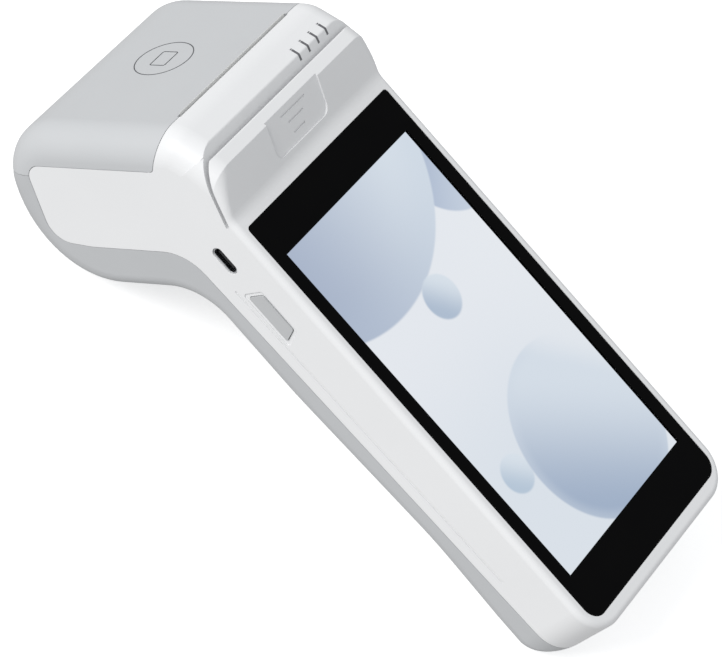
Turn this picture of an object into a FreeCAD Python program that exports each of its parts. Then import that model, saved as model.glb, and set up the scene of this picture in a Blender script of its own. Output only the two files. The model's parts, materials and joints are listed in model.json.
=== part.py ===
"""Handheld card payment terminal with a built-in roll printer.

Everything is drawn in the working frame of the screen: X across the screen,
Y along it towards the printer head, Z out of the screen, zero at the middle of
the glass face.  The printer head has its own coordinates (n, v): n along the
normal of the cover face, v along that face towards the far end.  The last step
stands the terminal on its four rubber feet: +Z up, body centred along Y.
"""
import FreeCAD, Part
import math
import os
from FreeCAD import Vector as V

os.makedirs("parts", exist_ok=True)

# ---------------------------------------------------------------- driving dimensions
HALF_W = 42.3            # half width of the body
WALL = 2.0               # moulded wall thickness
SEAM = 0.14              # visible gap between two mouldings
TAIL_Y = -80.0           # tail end of the body
TAIL_CORNER_R = 11.5     # corner radius of the tail, seen from the front
EDGE_R_FRONT = 2.0       # edge radius round the glass
EDGE_R_LIP = 7.2         # side edge radius at the crest of the guide plate
EDGE_R_HEAD = 9.0        # edge radius of the printer head
EDGE_R_BACK = 4.5        # edge radius of the back shell
RIB_X = 41.0             # ribs and webs end here, inside the side walls

# printer head, in head coordinates
HEAD_TILT = 32.2                         # degrees
N_COVER = 92.3                           # cover face
N_UNDER = 41.55                          # underside of the head
V_END = 119.8                            # far end of the head
N_SKIRT = 81.4                           # lower edge of the cover's side skirt
R_END_TOP, R_END_UNDER = 19.4, 30.8      # profile radii of the head's far end

# cover hinge, its axis 1 mm under the rounded far end
N_HINGE = 78.0
HINGE = (N_HINGE, V_END - R_END_TOP + math.sqrt(
    (R_END_TOP - 1.0) ** 2 - (N_HINGE - (N_COVER - R_END_TOP)) ** 2))
HINGE_PIN_R, HINGE_PIN_X = 0.75, 30.0
KNUCKLE_R = 1.55
KNUCKLE_GAP = 0.2
COVER_KNUCKLES = [(-22.0, -8.0), (8.0, 22.0)]                   # x ranges
BACK_KNUCKLES = [(-31.0, -22.2), (-7.8, 7.8), (22.2, 31.0)]

# paper and drive; axes as (n, v)
ROLL = (68.9, 91.0)
ROLL_R, ROLL_HALF_W = 20.0, 28.5
CORE_R = 6.5
PLATEN = (84.2, 63.45)
PLATEN_R, PLATEN_SHAFT_R = 4.0, 1.5
HEAD_PIVOT, PIVOT_R = (78.0, 57.6), 0.5
CHASSIS_POST_X, CHASSIS_POST_V = 24.0, 61.0

# screen
GLASS_X, GLASS_Y0, GLASS_Y1 = 39.06, -75.2, 74.0
GLASS_T = 0.9

# case screws: four along Z near the corners, two along n in the head
CASE_SCREWS = [(-36.8, -58.0), (36.8, -58.0), (-36.8, 62.0), (36.8, 62.0)]   # x, y
HEAD_SCREWS = [(-36.2, 76.0), (36.2, 76.0)]                                  # x, v
Z_MEET, N_MEET = -15.0, 60.0             # end faces of the front housing's bosses
Z_SEAT, N_SEAT = Z_MEET - 3.2, 56.5      # seats of the screw heads
SCREW_R, SCREW_HEAD_R, SCREW_HEAD_H = 0.99, 1.95, 1.3
PILOT_R, PILOT_DEPTH = 1.01, 9.0
CLEARANCE_R, COUNTERBORE_R = 1.15, 2.15
BOSS_R = 2.4

# battery bay
BAT_X, BAT_Y0, BAT_Y1 = 32.4, -26.0, 46.0
BAY_WALL = 1.3
CONTACT_PITCH = 4.2

# openings in the walls
CARD_Z0, CARD_Z1 = -13.1, -11.3          # chip card slot
USB_Y0, USB_Y1, USB_Z0, USB_Z1 = 66.1, 75.4, -14.2, -10.6
BUTTON = [(42.0, -14.9, 0.5), (58.4, -14.9, 0.5), (56.5, -10.0, 0.7), (43.6, -10.0, 0.7)]

# stance
REST_TILT = 12.63        # slope of the screen when the terminal stands on its feet
FOOT_R = 4.0
FOOT_H = 43.9            # depth of the feet's soles below the screen origin
FOOT_T = 2.5
FOOT_POCKET_REACH = FOOT_H + 6
FEET = [(sx * 27.0, y, z) for sx in (-1, 1) for y, z in ((-68.0, -28.5), (101.95, -66.6))]

HEAD_COS, HEAD_SIN = math.cos(math.radians(HEAD_TILT)), math.sin(math.radians(HEAD_TILT))
HEAD_NORMAL = V(0, HEAD_COS, HEAD_SIN)
DOWN = V(0, -math.sin(math.radians(REST_TILT)), -math.cos(math.radians(REST_TILT)))


def head_point(n, v, *radius):
    """Head coordinates to (y, z), with the corner radius passed through."""
    return (n * HEAD_COS + v * HEAD_SIN, n * HEAD_SIN - v * HEAD_COS, *radius)


# ---------------------------------------------------------------- outlines
def offset(points, inset):
    """Moves every side of a (y, z, corner radius) polygon inwards by inset."""
    if inset == 0:
        return list(points)
    following = points[1:] + points[:1]
    area = sum(a[0] * b[1] - b[0] * a[1] for a, b in zip(points, following))
    sign = 1.0 if area > 0 else -1.0
    lines = []                                      # a point and a direction for each side
    for a, b in zip(points, following):
        dy, dz = b[0] - a[0], b[1] - a[1]
        length = math.hypot(dy, dz)
        dy, dz = dy / length, dz / length
        lines.append((a[0] - dz * sign * inset, a[1] + dy * sign * inset, dy, dz))
    moved = []
    for i, point in enumerate(points):
        ya, za, dya, dza = lines[i - 1]
        yb, zb, dyb, dzb = lines[i]
        cross = dya * dzb - dza * dyb
        t = ((yb - ya) * dzb - dyb * (zb - za)) / cross
        radius = point[2]
        if radius > 0:
            convex = cross * sign > 0
            radius = max(radius - inset, 0.05) if convex else radius + inset
        moved.append((ya + dya * t, za + dza * t, radius))
    return moved


def outline_wire(points, x):
    """Closed wire at x through (y, z[, corner radius]) points."""
    count = len(points)
    corners = []
    for i, point in enumerate(points):
        here = V(x, point[0], point[1])
        before = V(x, *points[i - 1][:2])
        after = V(x, *points[(i + 1) % count][:2])
        radius = point[2] if len(point) > 2 else 0
        back = (before - here).normalize()
        ahead = (after - here).normalize()
        angle = math.acos(max(-1.0, min(1.0, back.dot(ahead))))
        if radius > 1e-6 and abs(math.pi - angle) > 1e-3:
            reach = radius / math.tan(angle / 2)
            bisector = (back + ahead).normalize()
            middle = here + bisector * (radius / math.sin(angle / 2) - radius)
            corners.append((here + back * reach, middle, here + ahead * reach))
        else:
            corners.append((here,))
    edges = []
    for i, corner in enumerate(corners):
        start_of_next = corners[(i + 1) % count][0]
        if len(corner) == 3:
            edges.append(Part.Arc(*corner).toShape())
        if (start_of_next - corner[-1]).Length > 1e-5:
            edges.append(Part.LineSegment(corner[-1], start_of_next).toShape())
    return Part.Wire(Part.__sortEdges__(edges))


def band(points, thickness):
    """Constant-thickness strip polygon along a line of points."""
    one_side, other_side = [], []
    for i, point in enumerate(points):
        a = points[max(i - 1, 0)]
        b = points[min(i + 1, len(points) - 1)]
        da, db = b[0] - a[0], b[1] - a[1]
        half = thickness / 2 / math.hypot(da, db)
        one_side.append((point[0] - db * half, point[1] + da * half))
        other_side.append((point[0] + db * half, point[1] - da * half))
    return one_side + other_side[::-1]


# ---------------------------------------------------------------- solids
def span(half):
    """X range centred on zero."""
    return -half, half


def outward(x, reach):
    """X range from x out to reach, on the side of x."""
    return sorted((x, math.copysign(reach, x)))


def prism(points, x0, x1):
    """(y, z[, radius]) outline pushed from x0 to x1."""
    return Part.Face(outline_wire(points, x0)).extrude(V(x1 - x0, 0, 0))


def head_prism(points, x0, x1):
    """(n, v[, radius]) outline pushed from x0 to x1."""
    return prism([head_point(*p) for p in points], x0, x1)


def box(x0, x1, y0, y1, z0, z1):
    return Part.makeBox(x1 - x0, y1 - y0, z1 - z0, V(x0, y0, z0))


def head_box(x0, x1, n0, n1, v0, v1):
    return head_prism([(n0, v0), (n1, v0), (n1, v1), (n0, v1)], x0, x1)


def edges_along(shape, axis):
    return [e for e in shape.Edges
            if abs(getattr(e.tangentAt(e.FirstParameter), axis)) > 0.99]


def round_box(x0, x1, y0, y1, z0, z1, radius, axis="z"):
    """Box with the four edges along one axis rounded."""
    block = box(x0, x1, y0, y1, z0, z1)
    return block.makeFillet(radius, edges_along(block, axis))


def x_cylinder(y, z, radius, x0, x1):
    return Part.makeCylinder(radius, x1 - x0, V(x0, y, z), V(1, 0, 0))


def head_cylinder(axis, radius, x0, x1):
    """Cylinder along X on an (n, v) axis."""
    return x_cylinder(*head_point(*axis), radius, x0, x1)


def z_post(x, y, z, radius, height):
    return Part.makeCylinder(radius, height, V(x, y, z))


def head_post(x, n, v, radius, height):
    """Cylinder along the head's normal, starting at n."""
    return Part.makeCylinder(radius, height, V(x, *head_point(n, v)), HEAD_NORMAL)


def plumb_post(x, y, z, radius, depth0, depth1):
    """Cylinder through (x, y, z) along gravity at rest, between two depths."""
    point = V(x, y, z)
    base = point + DOWN * (depth0 - DOWN.dot(point))
    return Part.makeCylinder(radius, depth1 - depth0, base, DOWN)


def fuse(first, *others):
    return first.fuse(list(others)).removeSplitter()


def largest(shape):
    return max(shape.Solids, key=lambda s: s.Volume)


def without_crumbs(shape, smallest=0.5):
    """The solids above a volume: one alone, or a compound of several."""
    found = [s for s in shape.Solids if s.Volume > smallest]
    return found[0] if len(found) == 1 else Part.makeCompound(found)


def fillet(shape, spec):
    """Variable fillet; spec lists (edge index, start radius, end radius)."""
    doc = FreeCAD.newDocument("f")
    base = doc.addObject("Part::Feature", "b")
    base.Shape = shape
    feature = doc.addObject("Part::Fillet", "f")
    feature.Base = base
    feature.Edges = [(i + 1, r1, r2) for i, r1, r2 in spec]
    doc.recompute()
    result = feature.Shape.copy()
    FreeCAD.closeDocument(doc.Name)
    if result.isNull() or not result.isValid():
        raise RuntimeError("fillet failed")
    return result.Solids[0]


# ---------------------------------------------------------------- outer form
UNDER_Y = (N_UNDER + 29.6 * HEAD_SIN) / HEAD_COS   # underside of the head meets the back
PLATE_Y, PLATE_SLOPE = 78.2, 0.563                 # foot and slope of the guide plate
CREST_Y, CREST_Z = 91.2, 7.32                      # top of the guide plate
LIP_SLOPE = -0.249                                 # far side of the plate, down to the slot
STRIP_Y, STRIP_Z = 107.78, 2.04                    # white strip meets the cover face
STRIP_SLOPE = -0.466
SPLIT_Y = 97.0                                     # inside the mouth of the swipe slot
Z_TOP = 20.0                                       # clear above every surface

# The body is the common part of three forms; columns are y, z, corner radius.
# back, head and strip; the front is left far too high
BACK_OUTLINE = [
    (TAIL_Y, Z_TOP, 0.0),
    (SPLIT_Y, Z_TOP, 0.0),
    (SPLIT_Y, STRIP_Z + (SPLIT_Y - STRIP_Y) * STRIP_SLOPE, 0.0),
    (STRIP_Y, STRIP_Z, 11.0),
    head_point(N_COVER, V_END, R_END_TOP),
    head_point(N_UNDER, V_END, R_END_UNDER),
    (UNDER_Y, -29.6, 20.0),
    (28.0, -29.9, 150.0),
    (-30.0, -27.1, 150.0),
    (-58.0, -28.3, 0.0),
    (TAIL_Y, -28.6, 12.0),
]
# tail, glass surround and guide plate; the head is left far too high
PLATE_OUTLINE = [
    (TAIL_Y, -90.0, 0.0), (TAIL_Y, 0.0, 0.0), (PLATE_Y, 0.0, 6.0),
    (SPLIT_Y, (SPLIT_Y - PLATE_Y) * PLATE_SLOPE, 0.0), (SPLIT_Y, Z_TOP, 0.0),
    (150.0, Z_TOP, 0.0), (150.0, -90.0, 0.0),
]
# far side of the guide plate
LIP_OUTLINE = [
    (TAIL_Y - 10, -90.0, 0.0), (TAIL_Y - 10, Z_TOP, 0.0),
    (CREST_Y + (Z_TOP - CREST_Z) / LIP_SLOPE, Z_TOP, 0.0),
    (SPLIT_Y, CREST_Z + (SPLIT_Y - CREST_Y) * LIP_SLOPE, 0.0), (SPLIT_Y, Z_TOP, 0.0),
    (150.0, Z_TOP, 0.0), (150.0, -90.0, 0.0),
]


def side_edges(shape, half_w, keep, radius_at):
    """Fillet list for the edges lying in the planes x = +-half_w."""
    spec = []
    for i, edge in enumerate(shape.Edges):
        t = (edge.FirstParameter + edge.LastParameter) / 2
        middle = edge.valueAt(t)
        if abs(abs(middle.x) - half_w) > 1e-3 or abs(edge.tangentAt(t).x) > 0.9:
            continue
        if keep(middle):
            ends = edge.valueAt(edge.FirstParameter), edge.valueAt(edge.LastParameter)
            spec.append((i, radius_at(ends[0]), radius_at(ends[1])))
    return spec


def back_form(inset):
    half_w = HALF_W - inset
    tail_limit = TAIL_Y + inset + 1e-3
    outline = offset(BACK_OUTLINE, inset)
    split_z = outline[2][1]

    def radius_at(p):
        if p.y < tail_limit:
            return TAIL_CORNER_R - inset
        if p.y < 60 or p.y * HEAD_COS + p.z * HEAD_SIN < 60:
            return EDGE_R_BACK - inset
        return EDGE_R_HEAD - inset

    form = prism(outline, *span(half_w))
    return fillet(form, side_edges(
        form, half_w, lambda m: m.y < tail_limit or m.z < split_z - 0.01, radius_at))


def plate_form(inset):
    half_w = HALF_W - inset
    tail_y = TAIL_Y + inset
    front_r, lip_r = EDGE_R_FRONT - inset, EDGE_R_LIP - inset
    outline = offset(PLATE_OUTLINE, inset)
    form = prism(outline, *span(half_w))
    if front_r <= 0.3:                              # the innermost form keeps its edges sharp
        return form
    tail_corners = [e for e in edges_along(form, "z")
                    if abs(e.valueAt(e.FirstParameter).y - tail_y) < 1e-3]
    form = form.makeFillet(TAIL_CORNER_R - inset, tail_corners)
    front_z = outline[1][1]
    split_y, split_z = outline[3][:2]
    ramp_y = PLATE_Y + 2.5                          # the edge radius grows from here

    def radius_at(p):
        if p.y < ramp_y:
            return front_r
        return front_r + (lip_r - front_r) * (p.y - ramp_y) / (CREST_Y - ramp_y)

    spec = []
    for i, edge in enumerate(form.Edges):
        middle = edge.valueAt((edge.FirstParameter + edge.LastParameter) / 2)
        p, q = edge.valueAt(edge.FirstParameter), edge.valueAt(edge.LastParameter)
        if min(p.z, q.z) < front_z - 1e-3 or max(p.z, q.z) > split_z + 1e-3:
            continue
        crosses = abs(p.x - q.x) > 2 * half_w - 1 and middle.y > tail_y + 1
        if middle.y > split_y - 1e-3 or crosses:
            continue
        spec.append((i, radius_at(p), radius_at(q)))
    return fillet(form, spec)


def lip_form(inset):
    half_w = HALF_W - inset
    outline = offset(LIP_OUTLINE, inset)
    top_z = outline[2][1]
    split_y, split_z = outline[3][:2]
    form = prism(outline, *span(half_w))
    return fillet(form, side_edges(
        form, half_w, lambda m: split_z < m.z < top_z and m.y < split_y,
        lambda p: EDGE_R_LIP - inset))


def envelope(inset):
    """The closed outer form, moved inwards."""
    form = back_form(inset).common(plate_form(inset)).common(lip_form(inset))
    # the form is symmetric: keep one half and mirror it
    half = largest(form.common(box(0, 60, -100, 160, -100, 40)))
    return largest(half.fuse([half.mirror(V(0, 0, 0), V(1, 0, 0))]).removeSplitter())


def back_z(y):
    """Height of the outer back surface, for y above -30."""
    if y > 28:
        return -29.9 + (y - 28) * 0.3 / (UNDER_Y - 28)
    return -29.9 + (28 - y) * 2.8 / 58


OUTER = envelope(0.0)
INNER = envelope(WALL)
SHELL = OUTER.cut(INNER)

# ---------------------------------------------------------------- parting lines
# side outline of the front housing's share: y, z, corner radius
FRONT_AREA = [
    (-95.0, -17.5, 0), (79.1, -22.5, 15.0), head_point(55.0, 94.0, 30.0),
    head_point(56.4, 107.8, 8.0), head_point(N_SKIRT, 109.3, 4.5),
    head_point(N_SKIRT, 63.7, 1.6), head_point(98.0, 56.5, 0), (60.0, 60.0, 0), (-95.0, 60.0, 0),
]
FRONT_SHARE = prism(offset(FRONT_AREA, SEAM / 2), *span(60))
FRONT_SHARE_GROWN = prism(offset(FRONT_AREA, -SEAM / 2), *span(60))
COVER_SHARE = head_box(*span(60), N_HINGE + SEAM / 2, 110, 40, 140)
COVER_SHARE_GROWN = head_box(*span(60), N_HINGE - SEAM / 2, 110, 40, 140)

# ---------------------------------------------------------------- swipe slot
# side outlines: y, z[, corner radius]
SLOT_OUTLINE = [
    (94.6, 14.0, 0), (94.6, 6.473, 0), (95.3, 6.299, 0.45), (95.3, 5.586, 0.25),
    (77.2, -2.016, 0.45), (77.5, -3.09, 0.45), (99.22, 6.032, 0.8), (101.0, 5.203, 0),
    (101.0, 14.0, 0),
]
SLOT_BLOCK_OUTLINE = [
    (75.0, 15, 0), (75.0, -5.3, 1.2), (77.6, -5.25, 1.0), (99.2, 3.83, 0), (101, 5, 0),
    (104, 15, 0),
]
SLOT_CUT = prism(SLOT_OUTLINE, *span(60))
SLOT_ANGLE = math.atan(0.42)                        # slope of the slot floor
READ_HEAD_Y, READ_HEAD_Z = 88.0, 1.32


def slot_point(along, out, *radius):
    """Coordinates along and out of the slot floor, at the read head, to (y, z)."""
    c, s = math.cos(SLOT_ANGLE), math.sin(SLOT_ANGLE)
    return (READ_HEAD_Y + along * c - out * s, READ_HEAD_Z + along * s + out * c, *radius)


def slot_prism(points, x0, x1):
    return prism([slot_point(*p) for p in points], x0, x1)


PIECES = []


def piece(build):
    """Marks a function whose result is written under the function's name."""
    PIECES.append(build)
    return build


# ---------------------------------------------------------------- front housing
def front_blank():
    """Front share of the shell with the slot block, screw bosses and their ribs."""
    front = SHELL.common(FRONT_SHARE).fuse([prism(SLOT_BLOCK_OUTLINE, *span(60)).common(OUTER)])
    for x, y in CASE_SCREWS:
        front = front.fuse(z_post(x, y, Z_MEET, BOSS_R, -1.0 - Z_MEET))
        front = front.fuse(box(*outward(x, RIB_X), y - 0.6, y + 0.6, Z_MEET + 2, -1.2))
    head_bosses = []
    for x, v in HEAD_SCREWS:
        head_bosses.append(head_post(x, N_MEET, v, BOSS_R, 14.0))
        head_bosses.append(head_box(*outward(x, RIB_X), 60.5, 73.5, v - 0.7, v + 0.7))
    return front.fuse(head_bosses)


def round_glass(block, grow=0.0):
    """Rounds the corners of the glass outline: wide at the tail, tight at the head."""
    tail = [e for e in edges_along(block, "z") if e.Vertexes[0].Y < 0]
    block = block.makeFillet(5.2 + grow, tail)
    head = [e for e in edges_along(block, "z") if e.Vertexes[0].Y > 60]
    return block.makeFillet(1.3 + grow, head)


def cut_screen_seat(front):
    front = front.cut(box(*span(35.9), *span(64.2), -3.0, 1.0))
    gap = 0.1
    pocket = box(*span(GLASS_X + gap), GLASS_Y0 - gap, GLASS_Y1 + gap, -GLASS_T - 0.15, 2.0)
    return front.cut(round_glass(pocket, gap))


def cut_wall_openings(front):
    # chip card slot in the tail wall, with a lead-in
    front = front.cut(box(*span(27.8), -85, -77, CARD_Z0, CARD_Z1))
    front = front.cut(prism([
        (-85, CARD_Z0 - 3.2), (-85, CARD_Z1 + 3.2), (-80.9, CARD_Z1 + 1.4), (-78.9, CARD_Z1),
        (-78.9, CARD_Z0), (-80.9, CARD_Z0 - 1.4)], *span(29.0)))
    # port and button openings in the left wall; the button sits in a shallow dish
    front = front.cut(round_box(-45, -38, USB_Y0, USB_Y1, USB_Z0, USB_Z1, 1.7, "x"))
    front = front.cut(prism(offset(BUTTON, -0.14), -45, -38))
    dish = [(40.2, -16.1, 1.0), (60.2, -16.1, 1.0), (57.6, -9.3, 1.4), (42.4, -9.3, 1.4)]
    front = front.cut(prism(dish, -45, -HALF_W + 0.25))
    # shallow finger groove along both side walls
    groove = [(-50.5, -14.35, 0.2), (62.0, -17.2, 0.2), (62.0, -17.75, 0.2), (-50.5, -14.9, 0.2)]
    for side in (-1, 1):
        front = front.cut(prism(groove, *outward(side * (HALF_W - 0.2), HALF_W + 1)))
    return front


def cut_pilot_holes(front):
    for x, y in CASE_SCREWS:
        front = front.cut(z_post(x, y, Z_MEET - 0.1, PILOT_R, PILOT_DEPTH))
    for x, v in HEAD_SCREWS:
        front = front.cut(head_post(x, N_MEET - 0.1, v, PILOT_R, PILOT_DEPTH))
    return front


def on_plate(shape):
    """Moves a shape drawn on the XY plane up onto the guide plate."""
    shape.rotate(V(0, 0, 0), V(1, 0, 0), math.degrees(math.atan(PLATE_SLOPE)))
    shape.translate(V(0, PLATE_Y, 0))
    return shape


def cut_plate_recess(front):
    """Finger recess in the guide plate, with three short bars sunk in its floor."""
    front = front.cut(on_plate(round_box(*span(14.2), 3.0, 21.0, -0.6, 8.0, 3.0)))
    for y, half in ((13.1, 6.5), (10.0, 4.0), (6.3, 3.0)):
        front = front.cut(on_plate(box(*span(half), y - 0.25, y + 0.25, -0.85, 0.0)))
    return front


@piece
def front_housing():
    front = front_blank().cut(SLOT_CUT)
    front = cut_screen_seat(front)
    front = cut_wall_openings(front)
    front = cut_pilot_holes(front)
    front = front.cut(status_light_windows())
    front = cut_plate_recess(front)
    # read head window in the slot floor, paper exit, hinge clearance
    window = [(-3.2, 0.5), (3.2, 0.5), (3.2, -3.0), (-3.2, -3.0)]
    front = front.cut(slot_prism(window, *span(6.2)))
    front = front.cut(head_box(*span(29.5), 87.9, 97.0, 58.55, 62.0))
    front = front.cut(head_cylinder(HINGE, KNUCKLE_R + KNUCKLE_GAP, *span(42)))
    return without_crumbs(front.removeSplitter())


@piece
def status_light_windows():
    """Four narrow windows over the ridge, each with a foot towards the light board."""
    foot = [(87.6, 49.9), (88.7, 49.9), (88.7, 51.1), (87.6, 51.1)]
    body = [(97.3, 9.5), (97.3, 5.25), (98.1, 4.4), (99.5, 4.5), (100.7, 3.7),
            (101.35, 5.04), (101.9, 6.5), (99.0, 9.5)]
    windows = []
    for i in range(4):
        x0 = 15.0 + 5.0 * i
        x1 = x0 + 0.9
        window = fuse(head_prism(foot, x0, x1), prism(body, x0, x1))
        windows.append(largest(window.common(OUTER).cut(SLOT_CUT)))
    return Part.makeCompound(windows)


# ---------------------------------------------------------------- back shell
def back_blank():
    """Back share of the shell with the battery bay, bosses, posts and foot pads."""
    back = largest(SHELL.cut(FRONT_SHARE_GROWN).cut(COVER_SHARE_GROWN))
    bay = round_box(*span(BAT_X + BAY_WALL), BAT_Y0 - BAY_WALL, BAT_Y1 + BAY_WALL,
                    -34.0, -7.4, 3.0 + BAY_WALL)
    back = back.fuse([bay.common(OUTER)])
    for x, y in CASE_SCREWS:
        back = back.fuse(z_post(x, y, Z_MEET - 14.05, 2.9, 14.0).common(OUTER))
    for x, v in HEAD_SCREWS:
        back = back.fuse(head_post(x, 42.0, v, 3.2, 17.95).common(OUTER))
    for x in span(CHASSIS_POST_X):                  # posts under the printer chassis
        back = back.fuse(head_post(x, 42.3, CHASSIS_POST_V, 2.6, 5.8).common(OUTER))
    for x in span(18.0):                            # cradles under the paper tray
        cradle = head_box(x - 0.8, x + 0.8, 42.3, 52.0, 80.0, 102.0)
        back = back.fuse(cradle.cut(head_cylinder(ROLL, 21.75, *span(40))).common(OUTER))
    for foot in FEET:                               # pads over the foot pockets
        pad = plumb_post(*foot, FOOT_R + 1.3, FOOT_H - 4.2, FOOT_POCKET_REACH)
        back = back.fuse(pad.common(OUTER))
    return back.cut(round_box(*span(BAT_X), BAT_Y0, BAT_Y1, -40.0, -8.2, 3.0))


def cut_screw_holes(back):
    for x, y in CASE_SCREWS:
        back = back.cut(z_post(x, y, -34, CLEARANCE_R, 24))
        back = back.cut(z_post(x, y, Z_SEAT - 17, COUNTERBORE_R, 17))
    n_start = 38.0
    for x, v in HEAD_SCREWS:
        back = back.cut(head_post(x, n_start, v, CLEARANCE_R, 32))
        back = back.cut(head_post(x, n_start, v, COUNTERBORE_R, N_SEAT - n_start))
    return back


@piece
def back_shell():
    back = cut_screw_holes(back_blank())
    for foot in FEET:
        back = back.cut(plumb_post(
            *foot, FOOT_R + 0.05, FOOT_H - FOOT_T - 0.05, FOOT_POCKET_REACH))
    for i in range(5):                              # sound slots behind the speaker
        x = -22.0 + 4.0 * i
        back = back.cut(round_box(x - 0.55, x + 0.55, 51.5, 59.0, -34, -20, 0.5))
    back = back.fuse([head_cylinder(HINGE, KNUCKLE_R, a, b) for a, b in BACK_KNUCKLES])
    for a, b in COVER_KNUCKLES:
        back = back.cut(head_cylinder(
            HINGE, KNUCKLE_R + KNUCKLE_GAP, a - KNUCKLE_GAP, b + KNUCKLE_GAP))
    for a, b in ((-45, -31.0), (31.0, 45)):         # clear beyond the outer knuckles
        back = back.cut(head_cylinder(HINGE, 1.5, a, b))
    back = back.cut(head_cylinder(HINGE, HINGE_PIN_R + 0.01, *span(HINGE_PIN_X + 0.1)))
    return largest(back.removeSplitter())


@piece
def rubber_feet():
    feet = []
    for position in FEET:
        foot = plumb_post(*position, FOOT_R, FOOT_H - FOOT_T, FOOT_H)
        sole_rim = [e for e in foot.Edges if len(e.Vertexes) == 1
                    and abs(DOWN.dot(e.Vertexes[0].Point) - FOOT_H) < 1e-3]
        feet.append(foot.makeFillet(0.5, sole_rim))
    return Part.makeCompound(feet)


# ---------------------------------------------------------------- battery
@piece
def battery_door():
    gap, hinge_r = 0.12, 0.8
    window = round_box(*span(BAT_X - gap), BAT_Y0 + gap, BAT_Y1 - gap, -40.0, -20.0, 3.4)
    door = largest(OUTER.common(window).cut(envelope(1.6)))
    # swing axis, in the rounded tail edge
    axis_y = BAT_Y0 + gap + hinge_r
    axis_z = back_z(axis_y) + hinge_r
    door = door.cut(box(*span(40), BAT_Y0 - 1, axis_y, -40, -10))
    door = door.fuse(x_cylinder(axis_y, axis_z, hinge_r, *span(28.86))).removeSplitter()
    finger_notch = Part.makeSphere(9.0, V(0, BAT_Y1 - 4.0, back_z(BAT_Y1) - 8.2))
    return without_crumbs(door.cut(finger_notch))


@piece
def battery():
    pack = round_box(*span(31.2), -24.4, 43.6, -24.6, -8.6, 2.0)
    return pack.makeFillet(1.2, [e for e in pack.Edges if abs(e.BoundBox.ZLength) < 1e-6])


@piece
def battery_contact_block():
    block = box(*span(9), 44.0, 45.8, -15.5, -9.5)
    for i in range(4):
        x0 = -7.6 + CONTACT_PITCH * i
        block = block.cut(box(x0, x0 + 2.6, 43.9, 44.6, -15.0, -10.5))
    return block


@piece
def battery_contacts():
    starts = [-7.3 + CONTACT_PITCH * i for i in range(4)]
    return Part.makeCompound([box(x0, x0 + 2.0, 43.7, 44.5, -14.6, -11.0) for x0 in starts])


# ---------------------------------------------------------------- printer cover
@piece
def printer_cover():
    cover = largest(SHELL.common(COVER_SHARE).cut(FRONT_SHARE_GROWN))
    bearing_ear = [(90.7, 60.6), (90.7, 71.0), (84.5, 67.6, 2), (80.9, 65.6, 1.5),
                   (80.9, 61.3, 1.5), (86.0, 60.6)]
    for side in (-1, 1):
        cover = cover.fuse(head_prism(bearing_ear, *outward(side * 30.0, 31.5)))
    cover = cover.fuse([head_cylinder(HINGE, KNUCKLE_R, a, b) for a, b in COVER_KNUCKLES])
    for a, b in BACK_KNUCKLES:
        cover = cover.cut(head_cylinder(
            HINGE, KNUCKLE_R + KNUCKLE_GAP, a - KNUCKLE_GAP, b + KNUCKLE_GAP))
    cover = cover.cut(head_cylinder(HINGE, HINGE_PIN_R + 0.06, *span(HINGE_PIN_X + 0.1)))
    # clearance for the platen gear, seats for the bushings, paper exit
    cover = cover.cut(head_cylinder(PLATEN, 5.9, 33.2, 36.5))
    cover = cover.cut(head_cylinder(PLATEN, 2.62, *span(35)))
    cover = cover.cut(head_box(*span(29.5), 86.0, 97.0, 56.0, 59.65))
    return largest(cover.removeSplitter())


@piece
def cover_hinge_pin():
    return head_cylinder(HINGE, HINGE_PIN_R, *span(HINGE_PIN_X))


@piece
def contactless_antenna():
    """Four nested rectangular turns under the cover face."""
    width = 0.8
    turns = []
    for i in range(4):
        half, v0, v1 = 24 - 1.3 * i, 70.5 + 1.3 * i, 98.5 - 1.3 * i
        turn = head_box(*span(half), 89.75, 90.0, v0, v1)
        turns.append(turn.cut(head_box(*span(half - width), 89.0, 91.0, v0 + width, v1 - width)))
    return Part.makeCompound(turns)


@piece
def antenna_sheet():
    return head_box(*span(25), 90.05, 90.25, 69.5, 99.5)


# ---------------------------------------------------------------- gear train
GEAR_MODULE = 0.5
PRESSURE_ANGLE = math.radians(20)
PLATEN_TEETH, IDLER_TEETH, PINION_TEETH = 20, 26, 12
GEAR_X0, GEAR_X1 = 33.6, 35.9
IDLER_PIN_R = 1.0
MOTOR_NECK_R = 3.0


def next_axis(axis, teeth_sum, degrees):
    """Axis of a meshing gear on the lower n side, at an angle from the normal."""
    distance = GEAR_MODULE * teeth_sum / 2
    angle = math.radians(degrees)
    return axis[0] - distance * math.cos(angle), axis[1] - distance * math.sin(angle)


def bearing(a, b):
    """Angle in the YZ plane from head axis a to head axis b."""
    (ya, za), (yb, zb) = head_point(*a), head_point(*b)
    return math.atan2(zb - za, yb - ya)


IDLER = next_axis(PLATEN, PLATEN_TEETH + IDLER_TEETH, 30)
MOTOR = next_axis(IDLER, IDLER_TEETH + PINION_TEETH, -15.6)

# turn of each gear that lets its teeth mesh with the one before
PLATEN_PHASE = bearing(PLATEN, IDLER)
IDLER_PHASE = PLATEN_PHASE + math.pi + math.pi / IDLER_TEETH
TO_MOTOR = bearing(IDLER, MOTOR)
TOOTH_LAG = (TO_MOTOR - IDLER_PHASE) % (2 * math.pi / IDLER_TEETH)
PINION_PHASE = (TO_MOTOR + math.pi + TOOTH_LAG * IDLER_TEETH / PINION_TEETH
                + math.pi / PINION_TEETH)


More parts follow.
